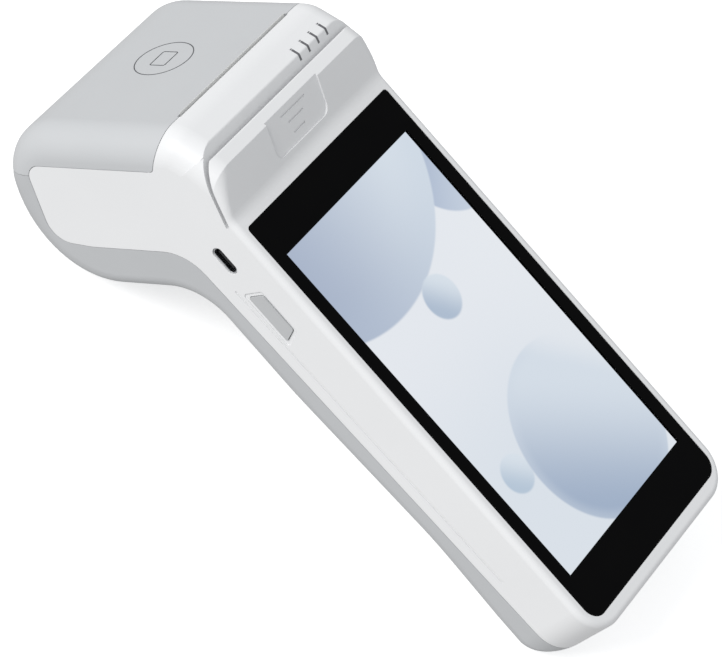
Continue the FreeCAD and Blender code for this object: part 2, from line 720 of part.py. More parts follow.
def gear(axis, teeth, phase, bore=0):
    """Involute gear with a little backlash."""
    pitch_r = GEAR_MODULE * teeth / 2
    tip_r, root_r = pitch_r + 0.95 * GEAR_MODULE, pitch_r - 1.2 * GEAR_MODULE
    base_r = pitch_r * math.cos(PRESSURE_ANGLE)

    def involute(angle):
        return math.tan(angle) - angle

    half_tooth = math.pi / (2 * teeth) - 0.06 / pitch_r      # at the pitch circle
    flank = []                                      # radius, half angle of the tooth
    for k in range(6):
        r = base_r + (tip_r - base_r) * k / 5
        flank.append((r, half_tooth + involute(PRESSURE_ANGLE) - involute(math.acos(base_r / r))))
    root = flank[0][1] + 0.01
    tooth = [(root_r, -root)] + [(r, -h) for r, h in flank]
    tooth += [(r, h) for r, h in reversed(flank)] + [(root_r, root)]
    y, z = head_point(*axis)
    points = []
    for i in range(teeth):
        centre = phase + 2 * math.pi * i / teeth
        for r, h in tooth:
            points.append(V(GEAR_X0, y + r * math.cos(centre + h), z + r * math.sin(centre + h)))
    points.append(points[0])
    wheel = Part.Face(Part.makePolygon(points)).extrude(V(GEAR_X1 - GEAR_X0, 0, 0))
    if bore:
        wheel = wheel.cut(x_cylinder(y, z, bore, GEAR_X0 - 0.5, GEAR_X1 + 1.5))
    return wheel


@piece
def platen_gear():
    return gear(PLATEN, PLATEN_TEETH, PLATEN_PHASE, PLATEN_SHAFT_R)


@piece
def idler_gear():
    return gear(IDLER, IDLER_TEETH, IDLER_PHASE, IDLER_PIN_R + 0.05)


@piece
def motor_pinion():
    """Pinion in one piece with the motor shaft."""
    pinion = gear(MOTOR, PINION_TEETH, PINION_PHASE)
    pinion = pinion.fuse(head_cylinder(MOTOR, 0.75, 24.0, GEAR_X0 + 0.1))
    return without_crumbs(pinion.removeSplitter())


@piece
def feed_motor():
    x0 = 20.0
    motor = head_cylinder(MOTOR, 7.3, x0, 31.6)
    inner_rim = [e for e in motor.Edges if len(e.Vertexes) == 1
                 and abs(e.BoundBox.XMin - x0) < 0.1 and e.BoundBox.XLength < 0.1]
    motor = motor.makeFillet(0.6, inner_rim)
    motor = motor.fuse(head_cylinder(MOTOR, MOTOR_NECK_R, 31.5, 33.0))
    motor = motor.cut(head_cylinder(MOTOR, 0.8, 23.0, 34.0))
    return without_crumbs(motor.removeSplitter())


# ---------------------------------------------------------------- printer mechanism
@piece
def platen_roller():
    rubber = head_cylinder(PLATEN, PLATEN_R, *span(28.9))
    return rubber.cut(head_cylinder(PLATEN, PLATEN_SHAFT_R, *span(30)))


@piece
def platen_shaft():
    return head_cylinder(PLATEN, PLATEN_SHAFT_R, -33.4, 36.1)


@piece
def platen_bushings():
    bushings = []
    for side in (-1, 1):
        bushing = head_cylinder(PLATEN, 2.6, *outward(side * 29.8, 31.7))
        bushings.append(bushing.cut(head_cylinder(PLATEN, PLATEN_SHAFT_R + 0.04, *span(35))))
    return Part.makeCompound(bushings)


@piece
def printer_chassis():
    # n, v, corner radius
    cheek = [(48.2, 54.6, 1), (70, 53.4, 0), (80.0, 52.6, 1), (82.0, 54.5, 1),
             (81.8, 59.5, 1), (78.0, 64.5, 2), (60, 67.6, 2), (48.2, 67.6, 0)]
    chassis = fuse(
        head_prism(cheek, 32.0, 33.2), head_prism(cheek, -33.2, -32.0),
        head_box(*span(33.0), 48.2, 49.4, 55.0, 67.4),
        head_cylinder(IDLER, IDLER_PIN_R, 33.0, 36.4),
        head_cylinder(IDLER, 1.8, 33.0, 33.45),
    )
    chassis = chassis.cut(head_cylinder(MOTOR, MOTOR_NECK_R + 0.05, 31.0, 34.0))
    for side in (-1, 1):                            # holes for the pivot of the print head
        pivot_hole = head_cylinder(HEAD_PIVOT, PIVOT_R + 0.05, *outward(side * 31.9, 33.3))
        chassis = chassis.cut(pivot_hole)
    for x in span(CHASSIS_POST_X):
        chassis = chassis.cut(head_post(x, 47.0, CHASSIS_POST_V, 1.1, 5.0))
    return without_crumbs(chassis)


@piece
def thermal_print_head():
    """Heat sink plate on the pivot wire."""
    plate = head_box(*span(29.2), 77.2, 87.4, 56.9, 58.5)
    return without_crumbs(plate.cut(head_cylinder(HEAD_PIVOT, PIVOT_R, *span(40))))


@piece
def heater_strip():
    return head_box(*span(28.6), 79.0, 87.2, 58.5, 59.2)


@piece
def head_pivot_wire():
    return head_cylinder(HEAD_PIVOT, PIVOT_R, *span(33.2))


@piece
def head_spring():
    return head_prism([(80.5, 55.3), (85.5, 56.0), (85.5, 56.25), (80.2, 55.55),
                       (72.0, 55.55), (72.0, 55.3)], *span(14))


@piece
def tear_bar():
    half, v0, v1, count = 29.3, 58.6, 58.95, 36
    n_root, n_tip = 91.25, 92.05
    bar = head_box(*span(half), 88.1, 91.3, v0, v1)
    root, tip = head_point(n_root, v0), head_point(n_tip, v0)
    across = V(0, *head_point(n_root, v1)) - V(0, *root)
    teeth = []
    for i in range(count):
        x0 = -half + 2 * half * i / count
        x1 = -half + 2 * half * (i + 1) / count
        corners = [V(x0, *root), V(x1, *root), V((x0 + x1) / 2, *tip), V(x0, *root)]
        teeth.append(Part.Face(Part.makePolygon(corners)).extrude(across))
    return without_crumbs(bar.fuse(teeth).removeSplitter())


# ---------------------------------------------------------------- paper
@piece
def paper_roll():
    roll = head_cylinder(ROLL, ROLL_R, *span(ROLL_HALF_W))
    return roll.cut(head_cylinder(ROLL, CORE_R, *span(40)))


@piece
def roll_core():
    core = head_cylinder(ROLL, CORE_R - 0.02, *span(ROLL_HALF_W))
    return core.cut(head_cylinder(ROLL, 5.5, *span(40)))


@piece
def paper_web():
    """Paper from the roll, along a common tangent to the platen, round it and out."""
    roll_r, platen_r = ROLL_R + 0.14, PLATEN_R + 0.12
    dn, dv = PLATEN[0] - ROLL[0], PLATEN[1] - ROLL[1]
    distance = math.hypot(dn, dv)
    dn, dv = dn / distance, dv / distance
    k = (roll_r - platen_r) / distance
    q = math.sqrt(1 - k * k)
    # unit normal of the tangent, pointing from both axes to the paper
    normal_n, normal_v = k * dn + q * dv, k * dv - q * dn
    web = [(n + r * normal_n, v + r * normal_v)
           for (n, v), r in ((ROLL, roll_r), (PLATEN, platen_r))]
    start = math.atan2(normal_n, -normal_v)
    for i in range(1, 7):
        angle = start * (1 - i / 6)
        web.append((PLATEN[0] + platen_r * math.sin(angle),
                    PLATEN[1] - platen_r * math.cos(angle)))
    web.append((92.9, PLATEN[1] - platen_r))
    return head_prism(band(web, 0.09), *span(ROLL_HALF_W))


@piece
def paper_tray():
    """Closed-ended trough the roll drops into."""
    tray = head_cylinder(ROLL, 21.7, *span(30.6)).cut(head_cylinder(ROLL, 20.7, *span(29.4)))
    lower_part = [(40, 60), (56.0, 60), (58.0, 76.0), (66.0, 90.0), (75.0, 100.0),
                  (75.0, 125), (40, 125)]
    return without_crumbs(tray.common(head_prism(lower_part, *span(40))), 5)


# ---------------------------------------------------------------- card readers
@piece
def chip_reader_frame():
    frame = box(*span(31.0), -77.6, -32.0, -15.6, -9.4)
    frame = frame.cut(box(*span(27.6), -78.0, -34.0, CARD_Z0, CARD_Z1))
    frame = frame.cut(box(*span(9.0), -60.0, -44.0, -11.6, -9.0))
    frame = frame.cut(box(*span(24.0), -74.0, -64.0, -11.6, -9.0))
    frame = frame.cut(box(*span(24.0), -70.0, -38.0, -16.0, -12.9))
    tail_room = INNER.common(box(*span(60), -90, -30, -30, 0))
    return without_crumbs(frame.common(tail_room))


@piece
def chip_contact_block():
    return box(*span(8.8), -59.8, -44.2, -11.0, -9.4)


@piece
def chip_contacts():
    """Two rows of four."""
    contacts = []
    for row in range(2):
        for column in range(4):
            x, y = -6.0 + 3.4 * column, -57.0 + 7.6 * row
            contacts.append(box(x, x + 1.4, y, y + 4.0, -11.25, -11.0))
    return Part.makeCompound(contacts)


@piece
def stripe_read_head():
    return slot_prism([(-3.0, -5.6), (3.0, -5.6), (3.0, -0.1, 0.8), (0.9, 0.4, 1.2),
                       (-0.9, 0.4, 1.2), (-3.0, -0.1, 0.8)], *span(6.0))


@piece
def read_head_spring():
    """Flat strip with an upturned tab at each end."""
    half, tab_t = 11.0, 0.25
    strip = slot_prism([(-2.0, -6.5), (2.0, -6.5), (2.0, -6.75), (-2.0, -6.75)], *span(half))
    tab = [(-2.0, -6.6), (2.0, -6.6), (2.0, -3.0), (-2.0, -3.0)]
    return fuse(strip, slot_prism(tab, -half, -half + tab_t),
                slot_prism(tab, half - tab_t, half))


# ---------------------------------------------------------------- screen
@piece
def screen_glass():
    glass = round_glass(box(*span(GLASS_X), GLASS_Y0, GLASS_Y1, -GLASS_T, 0.0))
    face_rim = [e for e in glass.Edges
                if abs(e.BoundBox.ZMax) < 1e-6 and e.BoundBox.ZLength < 1e-6]
    return glass.makeFillet(0.25, face_rim)


@piece
def glass_gasket():
    gasket = box(*span(38.7), -74.8, 73.6, -1.04, -0.91)
    gasket = gasket.cut(box(*span(36.4), *span(64.7), -2, 0))
    return gasket.common(round_glass(box(*span(38.8), -74.9, 73.7, -3, 1.0)))


@piece
def display_panel():
    return box(*span(35.6), *span(63.9), -2.6, -0.96)


@piece
def mid_frame():
    frame = round_box(*span(39.6), -70.0, 74.4, -3.8, -2.8, 4.0)
    for x, y in CASE_SCREWS:                        # round the bosses and their ribs
        frame = frame.cut(z_post(x, y, -5, BOSS_R + 0.2, 5))
        frame = frame.cut(box(*outward(x, 42), y - 0.9, y + 0.9, -5, -1))
    for y0, y1 in ((-62, -20), (-14, 12), (18, 50)):
        frame = frame.cut(round_box(*span(28), y0, y1, -5, -1, 3.0))
    return without_crumbs(frame)


# ---------------------------------------------------------------- boards and ports
@piece
def main_board():
    return round_box(*span(33.8), -66.0, 52.0, -6.0, -4.9, 2.0)


@piece
def shield_cans():
    footprints = [(-30, -6, -60, -40), (2, 27, -60, -34), (-26, 4, 20, 46)]   # x0, x1, y0, y1
    return Part.makeCompound([round_box(*f, -4.85, -3.9, 1.0) for f in footprints])


@piece
def backup_cell():
    return z_post(16, -10, -7.15, 5.0, 1.1)


@piece
def sam_card_socket():
    return box(-26, -9, -20, -2, -7.2, -6.05)


@piece
def board_connector():
    return box(-13.0, 9.0, 46.0, 51.8, -7.2, -6.05)


@piece
def print_head_cable():
    path = [(92.9, -9.6), (84.0, -10.2), (72.0, -9.2), (60.0, -7.0), (53.2, -6.4)]   # y, z
    return prism(band(path, 0.25), -12.0, 8.0)


@piece
def port_board():
    board = round_box(-39.0, -33.6, 48.2, 78.0, -16.0, -15.0, 0.8)
    return without_crumbs(board.cut(z_post(*CASE_SCREWS[2], -18, 3.1, 5)))


@piece
def usb_port():
    """Metal sleeve, open to the left, on a foot down to the port board."""
    sleeve = round_box(-41.9, -34.0, USB_Y0 + 0.15, USB_Y1 - 0.15,
                       USB_Z0 + 0.13, USB_Z1 - 0.13, 1.55, "x")
    sleeve = sleeve.cut(round_box(-43.0, -35.0, USB_Y0 + 0.45, USB_Y1 - 0.45,
                                  USB_Z0 + 0.45, USB_Z1 - 0.45, 1.25, "x"))
    foot = box(-39.0, -34.5, USB_Y0 + 1.0, USB_Y1 - 1.0, -14.95, USB_Z0 + 0.3)
    return without_crumbs(fuse(sleeve, foot))


@piece
def usb_port_tongue():
    return box(-41.2, -35.02, USB_Y0 + 1.4, USB_Y1 - 1.4, -12.75, -12.05)


@piece
def power_button():
    """Cap standing just proud of the left wall, with a nib towards the switch."""
    x_inner = -39.6
    button = prism(BUTTON, -HALF_W - 0.15, x_inner)
    button = button.fuse(prism(offset(BUTTON, -0.9), -40.15, x_inner))
    button = button.fuse(box(-39.7, -38.9, 49.0, 51.4, -13.4, -11.4))
    return without_crumbs(button.removeSplitter())


@piece
def power_switch():
    return fuse(box(-38.3, -35.4, 48.3, 52.9, -14.95, -10.4),
                box(-38.45, -38.3, 49.2, 51.2, -13.3, -11.5))


@piece
def status_light_board():
    return head_box(11.0, 32.5, 86.4, 87.2, 51.5, 56.2)


@piece
def speaker():
    return round_box(-25.0, -3.0, 50.0, 61.0, -27.3, -23.0, 2.5)


# ---------------------------------------------------------------- screws
def screw(seat, axis, shank_length):
    """Screw whose head lies 0.05 below its seat, with a round recess in the head."""
    head_base = seat - axis * (SCREW_HEAD_H + 0.05)
    body = Part.makeCylinder(SCREW_R, shank_length, seat - axis * 0.1, axis)
    body = body.fuse(Part.makeCylinder(SCREW_HEAD_R, SCREW_HEAD_H, head_base, axis))
    body = body.cut(Part.makeCylinder(0.7, 0.8, head_base - axis * 0.1, axis))
    return without_crumbs(body.removeSplitter())


@piece
def case_screws():
    screws = [screw(V(x, y, Z_SEAT), V(0, 0, 1), 11.15) for x, y in CASE_SCREWS]
    screws += [screw(V(x, *head_point(N_SEAT, v)), HEAD_NORMAL, 11.5) for x, v in HEAD_SCREWS]
    return Part.makeCompound(screws)


# ---------------------------------------------------------------- stand it up
def stand(shape, y_shift):
    standing = shape.copy()
    standing.rotate(V(0, 0, 0), V(1, 0, 0), REST_TILT)
    standing.translate(V(0, y_shift, FOOT_H))
    return standing


bounds = stand(OUTER, 0.0).optimalBoundingBox(False)
CENTRING_SHIFT = -round((bounds.YMin + bounds.YMax) / 2, 2)

for build in PIECES:
    stand(build(), CENTRING_SHIFT).exportStep("parts/%s.step" % build.__name__)
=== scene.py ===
"""Looks, marks and studio for a payment terminal with a display and a receipt printer.

The model stands in metres with X across, Y towards the head end and Z up. Its screen is
tilted about X so that the head end is higher.
Screen frame (mm): x across, y up the glass towards the head, z out of the glass.
"""
import json
import math
from functools import cached_property

import bpy
from mathutils import Matrix, Vector


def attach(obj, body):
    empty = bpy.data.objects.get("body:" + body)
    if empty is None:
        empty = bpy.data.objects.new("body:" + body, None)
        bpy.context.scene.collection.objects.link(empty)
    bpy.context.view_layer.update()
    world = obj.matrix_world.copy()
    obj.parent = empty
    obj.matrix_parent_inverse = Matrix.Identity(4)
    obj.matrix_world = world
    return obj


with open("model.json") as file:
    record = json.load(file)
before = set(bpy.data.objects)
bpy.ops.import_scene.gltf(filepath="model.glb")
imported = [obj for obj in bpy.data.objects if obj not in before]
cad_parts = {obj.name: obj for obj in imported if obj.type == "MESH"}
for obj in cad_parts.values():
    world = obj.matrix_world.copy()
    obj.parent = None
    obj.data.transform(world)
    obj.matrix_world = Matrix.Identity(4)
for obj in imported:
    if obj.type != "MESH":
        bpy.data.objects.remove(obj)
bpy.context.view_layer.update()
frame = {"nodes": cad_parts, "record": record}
scene = bpy.context.scene

# ------------------------------------------------------------------ frames
SCREEN_TILT = math.radians(12.63)
TILT_COS, TILT_SIN = math.cos(SCREEN_TILT), math.sin(SCREEN_TILT)
SCREEN_Y, SCREEN_Z = -32.1, 43.9        # origin of the screen frame in the model, mm
HEAD_ANGLE = math.radians(32.2)         # cover normal, turned from screen y towards screen z
HEAD_COS, HEAD_SIN = math.cos(HEAD_ANGLE), math.sin(HEAD_ANGLE)
COVER_FACE = 92.3                       # cover face along its normal, mm
MM_PER_M = 1000.0


def model_point(x, y, z):
    """Screen frame in mm to the model frame in metres."""
    return Vector((
        x,
        y * TILT_COS - z * TILT_SIN + SCREEN_Y,
        y * TILT_SIN + z * TILT_COS + SCREEN_Z,
    )) / MM_PER_M


def model_direction(x, y, z):
    """Direction in the screen frame to a direction in the model frame."""
    return model_point(x, y, z) - model_point(0, 0, 0)


def cover_point(x, along, lift):
    """Point lifted off the cover face; along runs towards the head and into the glass."""
    normal = COVER_FACE + lift
    y = normal * HEAD_COS + along * HEAD_SIN
    z = normal * HEAD_SIN - along * HEAD_COS
    return model_point(x, y, z)


# ------------------------------------------------------------------ node helpers
class Shader:
    """Node tree of a material or world. Most helpers return an output socket."""

    def __init__(self, owner, output="ShaderNodeOutputMaterial"):
        self.owner = owner
        owner.use_nodes = True
        self.tree = owner.node_tree
        self.tree.nodes.clear()
        self.output = self.node(output)

    def node(self, kind, inputs=None, **properties):
        """New node; inputs maps a socket name or index to a value or an output socket."""
        node = self.tree.nodes.new(kind)
        for key, value in properties.items():
            setattr(node, key, value)
        for key, value in (inputs or {}).items():
            socket = node.inputs[key]
            if hasattr(value, "is_output"):
                self.tree.links.new(value, socket)
            elif isinstance(value, tuple) and len(socket.default_value) == 4:
                socket.default_value = (*value, 1.0)
            elif value is not None:
                socket.default_value = value
        return node

    @cached_property
    def position(self):
        return self.node("ShaderNodeTexCoord").outputs["Object"]

    def math(self, operation, a, b=None):
        return self.node("ShaderNodeMath", {0: a, 1: b}, operation=operation).outputs[0]

    def distance_along(self, direction, offset=0.0):
        """Position along a model direction, plus an offset, in mm."""
        weights = tuple(MM_PER_M * part for part in direction)
        dot = self.node("ShaderNodeVectorMath", {0: self.position, 1: weights},
                        operation="DOT_PRODUCT")
        return self.math("ADD", dot.outputs["Value"], offset)

    def screen_xy(self):
        """Screen frame x and y in mm."""
        x = self.distance_along((1.0, 0.0, 0.0))
        y = self.distance_along((0.0, TILT_COS, TILT_SIN),
                                -TILT_COS * SCREEN_Y - TILT_SIN * SCREEN_Z)
        return x, y

    def noise(self, scale, detail=2.0, rough=0.5, vector=None, distortion=0.0):
        return self.node("ShaderNodeTexNoise", {
            "Vector": vector or self.position, "Scale": scale, "Detail": detail,
            "Roughness": rough, "Distortion": distortion,
        }).outputs[0]

    def stretch(self, scale):
        return self.node("ShaderNodeMapping",
                         {"Vector": self.position, "Scale": scale}).outputs[0]

    def remap(self, value, span=(0.3, 0.7), to=(0.0, 1.0), smooth=False):
        """Clamped map of a span of values on to another."""
        return self.node("ShaderNodeMapRange", {
            "Value": value, "From Min": span[0], "From Max": span[1],
            "To Min": to[0], "To Max": to[1],
        }, clamp=True, interpolation_type="SMOOTHSTEP" if smooth else "LINEAR").outputs[0]

    def mix(self, factor, a, b):
        return self.node("ShaderNodeMix", {0: factor, 6: a, 7: b},
                         data_type="RGBA", blend_type="MIX").outputs[2]

    def vary(self, factor, colour, amount):
        """Colour that wanders by a fraction to either side."""
        return self.mix(factor, scaled(colour, 1.0 - amount), scaled(colour, 1.0 + amount))

    def bump(self, height, strength, distance, normal=None):
        return self.node("ShaderNodeBump", {
            "Strength": strength, "Distance": distance, "Height": height, "Normal": normal,
        }).outputs["Normal"]

    def bevel(self, radius):
        """Normal that softens sharp edges by a radius in metres."""
        return self.node("ShaderNodeBevel", {"Radius": radius}, samples=4).outputs["Normal"]

    def principled(self, colour, rough, metallic=0.0, specular=0.5, normal=None):
        return self.node("ShaderNodeBsdfPrincipled", {
            "Base Color": colour, "Roughness": rough, "Metallic": metallic,
            "Specular IOR Level": specular, "Normal": normal,
        }).outputs[0]

    def emission(self, colour, strength):
        return self.node("ShaderNodeEmission",
                         {"Color": colour, "Strength": strength}).outputs[0]

    def mix_shader(self, factor, a, b):
        return self.node("ShaderNodeMixShader", {0: factor, 1: a, 2: b}).outputs[0]

    def camera_switch(self, others, camera):
        """One shader for the camera's own rays and another for all the rest."""
        is_camera = self.node("ShaderNodeLightPath").outputs["Is Camera Ray"]
        return self.mix_shader(is_camera, others, camera)

    def finish(self, surface):
        self.tree.links.new(surface, self.output.inputs["Surface"])
        return self.owner


def new_material(name):
    return Shader(bpy.data.materials.new(name))


def srgb(*levels):
    """Display levels from 0 to 255 to a linear colour."""
    parts = [level / 255.0 for level in levels]
    return tuple(u / 12.92 if u <= 0.04045 else ((u + 0.055) / 1.055) ** 2.4 for u in parts)


def scaled(colour, factor):
    return tuple(min(1.0, part * factor) for part in colour)


# ------------------------------------------------------------------ plastics and metals
# slot, material, colour, roughness, grain scale, grain bump, colour variation, edge radius (m)
MOULDINGS = [
    ("white_shell", "white_moulding", (0.80, 0.805, 0.815), 0.40, 6400.0, 0.05, 0.008, 0.00022),
    ("cover_grey", "cover_moulding", (0.552, 0.564, 0.578), 0.36, 6400.0, 0.05, 0.010, 0.00025),
    ("shell_grey", "shell_moulding", (0.498, 0.509, 0.522), 0.46, 5200.0, 0.10, 0.015, 0.00022),
    ("key_grey", "key_moulding", (0.50, 0.51, 0.52), 0.34, 6400.0, 0.05, 0.01, 0.00025),
    ("black_plastic", "black_moulding", (0.022, 0.022, 0.024), 0.45, 4200.0, 0.14, 0.2, 0.00015),
    ("natural_plastic", "natural_moulding", (0.66, 0.64, 0.58), 0.40, 4200.0, 0.10, 0.03, 0.00012),
    ("core_plastic", "core_moulding", (0.10, 0.20, 0.42), 0.42, 4200.0, 0.10, 0.05, 0.0001),
]
# slot, material, colour, roughness, brushing stretch, colour variation, edge radius (m)
METALS = [
    ("steel", "bright_steel", (0.62, 0.63, 0.65), 0.24, (0.06, 1.0, 1.0), 0.06, 0.00015),
    ("zinc_frame", "zinc_sheet", (0.50, 0.51, 0.52), 0.38, None, 0.10, 0.00015),
    ("motor_can", "plated_can", (0.56, 0.56, 0.57), 0.30, (0.08, 1.0, 1.0), 0.08, 0.00015),
    ("pinion_brass", "turned_brass", (0.74, 0.54, 0.24), 0.26, None, 0.05, 0.00015),
    ("gold_contact", "gold_plate", (0.92, 0.68, 0.28), 0.20, None, 0.04, 0.00005),
    ("head_metal", "cast_heat_sink", (0.42, 0.43, 0.44), 0.42, None, 0.12, 0.00015),
]


def moulded(name, colour, rough, grain, depth, variation, edge):
    """Finely grained plastic."""
    m = new_material(name)
    cloud = m.noise(scale=38.0, detail=3.0)
    fine = m.noise(scale=grain, rough=0.6)
    return m.finish(m.principled(
        m.vary(m.remap(cloud), colour, variation),
        m.remap(fine, span=(0.25, 0.75), to=(rough - 0.04, rough + 0.05)),
        specular=0.4,
        normal=m.bump(fine, strength=depth, distance=0.00004, normal=m.bevel(edge)),
    ))


def metal(name, colour, rough, brushed, variation, edge):
    """Metal with an even grain, or one drawn out along X when brushed."""
    m = new_material(name)
    vector = m.stretch(brushed) if brushed else m.position
    grain = m.noise(scale=1400.0 if brushed else 600.0, detail=3.0, rough=0.6, vector=vector)
    cloud = m.noise(scale=60.0)
    return m.finish(m.principled(
        m.vary(m.remap(cloud), colour, variation),
        m.remap(grain, to=(rough - 0.07, rough + 0.09)),
        metallic=1.0,
        normal=m.bump(grain, strength=0.12, distance=0.00003, normal=m.bevel(edge)),
    ))


# ------------------------------------------------------------------ other materials
def foot_rubber():
    m = new_material("foot_rubber_grain")
    grain = m.noise(scale=2600.0, detail=4.0, rough=0.7)
    return m.finish(m.principled(
        m.mix(grain, (0.030, 0.030, 0.032), (0.055, 0.055, 0.057)),
        m.remap(grain, to=(0.62, 0.82)),
        specular=0.3,
        normal=m.bump(grain, strength=0.35, distance=0.00008),
    ))


def circuit_board():
    """Green solder mask over a brick pattern of tracks, dotted with bare pads."""
    m = new_material("solder_mask")
    tracks = m.node("ShaderNodeTexBrick", {
        "Vector": m.stretch((420.0, 420.0, 420.0)), "Scale": 1.0, "Mortar Size": 0.06,
    }, offset=0.35, squash=0.7).outputs["Fac"]
    cells = m.node("ShaderNodeTexVoronoi", {"Vector": m.position, "Scale": 520.0},
                   feature="F1")
    pads = m.remap(cells.outputs["Distance"], span=(0.10, 0.14), to=(1.0, 0.0))
    mask = m.mix(tracks, (0.012, 0.105, 0.045), (0.020, 0.165, 0.075))
    return m.finish(m.principled(
        m.mix(pads, mask, (0.62, 0.52, 0.30)),
        rough=0.34,
        normal=m.bump(tracks, strength=0.2, distance=0.00005),
    ))


def thermal_paper():
    """Paper with soft fibres drawn out along X."""
    m = new_material("thermal_coated_paper")
    fibres = m.noise(scale=900.0, detail=6.0, rough=0.7, vector=m.stretch((0.35, 1.0, 1.0)))
    cloud = m.noise(scale=120.0)
    return m.finish(m.principled(
        m.mix(m.remap(cloud), (0.82, 0.82, 0.80), (0.87, 0.87, 0.86)),
        m.remap(fibres, to=(0.5, 0.7)),
        specular=0.3,
        normal=m.bump(fibres, strength=0.18, distance=0.00004),
    ))


def head_ceramic():
    m = new_material("glazed_ceramic")
    glaze = m.noise(scale=1800.0, detail=3.0, rough=0.6)
    return m.finish(m.principled(
        m.mix(glaze, (0.70, 0.66, 0.58), (0.78, 0.75, 0.68)),
        m.remap(glaze, to=(0.16, 0.28)),
        specular=0.6,
        normal=m.bump(glaze, strength=0.08, distance=0.00003),
    ))


def cell_wrap():
    """Dark film with broad wrinkles round the battery."""
    m = new_material("cell_wrap_film")
    sheen = m.noise(scale=160.0, detail=4.0, rough=0.6)
    wrinkles = m.noise(scale=26.0, detail=3.0, distortion=0.6)
    return m.finish(m.principled(
        m.mix(m.remap(wrinkles, span=(0.35, 0.65)), (0.030, 0.034, 0.040), (0.046, 0.050, 0.058)),
        m.remap(sheen, to=(0.28, 0.42)),
        normal=m.bump(wrinkles, strength=0.25, distance=0.0004),
    ))


def ferrite():
    m = new_material("ferrite_sheet")
    grain = m.noise(scale=700.0, detail=5.0, rough=0.7)
    return m.finish(m.principled(
        m.mix(grain, (0.045, 0.045, 0.050), (0.085, 0.082, 0.080)),
        rough=0.55,
        specular=0.4,
        normal=m.bump(grain, strength=0.2, distance=0.00005),
    ))


def cable_film():
    """Amber film over copper strips that repeat every millimetre across X."""
    m = new_material("cable_strips")
    wave = m.math("PINGPONG", m.distance_along((1.0, 0.0, 0.0)), 0.5)
    strips = m.remap(wave, span=(0.2, 0.3))
    return m.finish(m.principled(
        m.mix(strips, (0.42, 0.17, 0.035), (0.66, 0.36, 0.10)),
        rough=0.32,
        normal=m.bump(strips, strength=0.15, distance=0.00004),
    ))


def smoked_lens():
    m = new_material("smoked_light")
    smoke = m.noise(scale=500.0)
    return m.finish(m.principled(
        m.mix(smoke, srgb(92, 92, 96), srgb(108, 108, 112)),
        rough=0.28,
        normal=m.bevel(0.00015),
    ))


# ------------------------------------------------------------------ display and its glass
WINDOW_X, WINDOW_Y = 34.25, 60.9        # half size of the clear window, mm
WINDOW_SOFT = 0.05                      # half width of the window's soft edge, mm
LIT_X, LIT_Y = 34.9, 61.6               # half size of the lit area, mm
SPHERE_SOFT = 0.5                       # half width of a sphere's soft edge, mm

# Spheres of the wallpaper, back to front, in mm right and down from the window's top left:
# centre, radius, dark colour, lit colour, shading span in radii, direction of the lit side,
# rim tint (start radius, strength, colour), whether it fades to the upper right
SPHERES = [
    # cut by the right edge
    ((75.0, 10.0), 20.8, (166, 180, 204), (196, 207, 222), (-0.9, 0.6), (0.7, 0.7),
     None, False),
    # large, top left
    ((19.2, -19.2), 55.7, (168, 180, 201), (216, 225, 234), (-0.55, 0.9), (1.0, -0.08),
     (38.0, 0.28, (186, 199, 216)), False),
    # small, at the lower edge of the large one
    ((35.6, 40.8), 7.1, (174, 189, 208), (215, 224, 233), (-0.8, 0.9), (0.75, -0.6),
     None, False),
    # small, behind the lower one
    ((11.6, 91.1), 6.1, (182, 198, 215), (215, 224, 233), (-0.8, 0.9), (0.7, -0.65),
     None, False),
    # lower
    ((46.0, 98.0), 29.3, (160, 176, 199), (212, 221, 231), (-0.95, 0.55), (0.62, -0.78),
     (25.0, 0.35, (205, 215, 227)), True),
]


def weighted_sum(m, x, y, weights):
    return m.math("ADD", m.math("MULTIPLY", x, weights[0]), m.math("MULTIPLY", y, weights[1]))


def add_sphere(m, ground, x, y, centre, radius, dark, lit, span, lit_side, rim, fades):
    """Ground colour with one shaded sphere laid over it."""
    from_x = m.math("SUBTRACT", x, centre[0])
    from_y = m.math("SUBTRACT", y, centre[1])
    distance = m.math("SQRT", weighted_sum(m, from_x, from_y, (from_x, from_y)))
    mask = m.remap(distance, span=(radius - SPHERE_SOFT, radius + SPHERE_SOFT),
                   to=(1.0, 0.0), smooth=True)
    depth = m.math("DIVIDE", weighted_sum(m, from_x, from_y, lit_side), radius)
    ball = m.mix(m.remap(depth, span=span, smooth=True), srgb(*dark), srgb(*lit))
    if rim:
        start, strength, tint = rim
        tinted = m.remap(distance, span=(start, radius), to=(0.0, strength), smooth=True)
        ball = m.mix(tinted, ball, srgb(*tint))
    if fades:
        fade = m.remap(weighted_sum(m, x, y, (0.8, -0.75)),
                       span=(-36.0, -2.0), to=(1.0, 0.0), smooth=True)
        mask = m.math("MULTIPLY", mask, m.remap(fade, span=(0.0, 0.45), smooth=True))
    return m.mix(mask, ground, ball)


def wallpaper(m, screen_x, screen_y):
    """Pale ground with the spheres on it."""
    x = m.math("ADD", screen_x, WINDOW_X)
    y = m.math("SUBTRACT", WINDOW_Y, screen_y)
    ground = m.mix(m.remap(y, span=(40.0, 95.0), smooth=True),
                   srgb(228, 232, 238), srgb(218, 225, 233))
    ground = m.mix(m.remap(x, span=(30.0, 70.0), to=(0.0, 0.5), smooth=True),
                   ground, srgb(230, 234, 239))
    for sphere in SPHERES:
        ground = add_sphere(m, ground, x, y, *sphere)
    return ground


def display():
    """Glowing wallpaper with an unlit border."""
    m = new_material("display_picture")
    x, y = m.screen_xy()
    glow = m.emission(wallpaper(m, x, y), strength=1.0)
    lit = m.math("MULTIPLY",
                 m.math("LESS_THAN", m.math("ABSOLUTE", x), LIT_X),
                 m.math("LESS_THAN", m.math("ABSOLUTE", y), LIT_Y))
    border = m.principled((0.01, 0.01, 0.011), rough=0.3)
    return m.finish(m.mix_shader(lit, border, glow))


